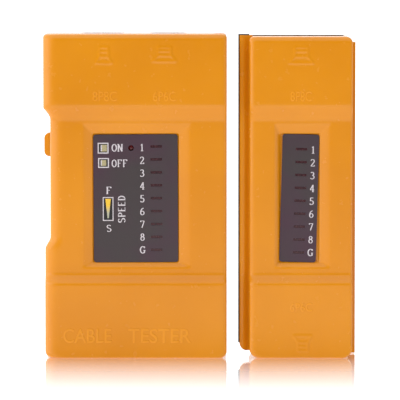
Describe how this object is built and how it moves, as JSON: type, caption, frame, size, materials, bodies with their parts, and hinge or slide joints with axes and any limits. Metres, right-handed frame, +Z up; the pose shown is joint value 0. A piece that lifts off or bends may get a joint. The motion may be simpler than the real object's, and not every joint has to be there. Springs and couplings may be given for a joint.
{
  "type": "network cable tester",
  "caption": "Two-piece orange network cable tester: a wide main unit with label, button, speed wheel and battery, and a narrow remote unit, each with modular jacks and a lamp column.",
  "frame": {"origin": "on the floor under the middle of the whole pair: midway across both units' outer sides and midway through their thickness", "axes": "+Z up along the units' length, +X to the right as seen from the front, the fronts with the labels face -Y"},
  "size_m": [0.0984, 0.028, 0.1018],
  "materials": {
    "orange_shell": "satin moulded ABS with a very fine spark-eroded grain and semi-gloss edges",
    "label_film": "screen-printed polyester film, satin gloss, dark plum grey",
    "circuit_board": "green solder mask on glass-fibre laminate",
    "black_plastic": "black moulded nylon, satin",
    "wheel_plastic": "orange moulded thumbwheel with a toothed rim",
    "contact_gold": "gold-plated phosphor bronze",
    "red_lens": "dark red tinted epoxy, unlit",
    "screw_steel": "zinc-plated steel",
    "battery_can": "painted steel can with a plain band",
    "capacitor_sleeve": "shrink sleeve over a bare aluminium top",
    "black_wire": "black PVC insulation",
    "red_wire": "red PVC insulation"
  },
  "bodies": {
    "main_unit": {"master_front_cover": "orange_shell", "master_back_shell": "orange_shell", "master_label": "label_film", "master_circuit_board": "circuit_board", "master_jack_8p": "black_plastic", "master_jack_6p": "black_plastic", "master_contacts_8p": "contact_gold", "master_contacts_6p": "contact_gold", "power_led": "red_lens", "power_switch_body": "black_plastic", "speed_potentiometer": "black_plastic", "counter_chip": "black_plastic", "timer_chip": "black_plastic", "capacitor": "capacitor_sleeve", "battery_9v": "battery_can", "battery_snap": "black_plastic", "lead_black": "black_wire", "lead_red": "red_wire", "master_led_1": "red_lens", "master_led_2": "red_lens", "master_led_3": "red_lens", "master_led_4": "red_lens", "master_led_5": "red_lens", "master_led_6": "red_lens", "master_led_7": "red_lens", "master_led_8": "red_lens", "master_led_g": "red_lens", "master_screw_1": "screw_steel", "master_screw_2": "screw_steel", "master_screw_3": "screw_steel", "master_screw_4": "screw_steel"},
    "power_button": {"power_button": "orange_shell"},
    "speed_wheel": {"speed_wheel": "wheel_plastic"},
    "battery_door": {"battery_door": "orange_shell"},
    "remote_unit": {"remote_front_cover": "orange_shell", "remote_back_shell": "orange_shell", "remote_label": "label_film", "remote_circuit_board": "circuit_board", "remote_jack_8p": "black_plastic", "remote_contacts_8p": "contact_gold", "remote_jack_6p": "black_plastic", "remote_contacts_6p": "contact_gold", "remote_led_1": "red_lens", "remote_led_2": "red_lens", "remote_led_3": "red_lens", "remote_led_4": "red_lens", "remote_led_5": "red_lens", "remote_led_6": "red_lens", "remote_led_7": "red_lens", "remote_led_8": "red_lens", "remote_led_g": "red_lens", "remote_screw_1": "screw_steel", "remote_screw_2": "screw_steel", "remote_screw_3": "screw_steel", "remote_screw_4": "screw_steel"}
  },
  "joints": [
    {"name": "power_button_press", "type": "slide", "parent": "main_unit", "child": "power_button", "axis": [1, 0, 0], "range_m": [0, 0.0015], "stiffness_N_per_m": 600, "springref_m": -0.001},
    {"name": "speed_wheel_turn", "type": "hinge", "parent": "main_unit", "child": "speed_wheel", "pos_m": [-0.039, 0.0019, 0.047], "axis": [0, 1, 0], "range_deg": [-130, 130]},
    {"name": "battery_door_tilt", "type": "hinge", "parent": "main_unit", "child": "battery_door", "pos_m": [-0.02, 0.0128, 0.0052], "axis": [-1, 0, 0], "range_deg": [0, 75]},
    {"name": "remote_dock_slide", "type": "slide", "parent": "main_unit", "child": "remote_unit", "axis": [1, 0, 0], "range_m": [-0.0068, 0.06]}
  ]
}
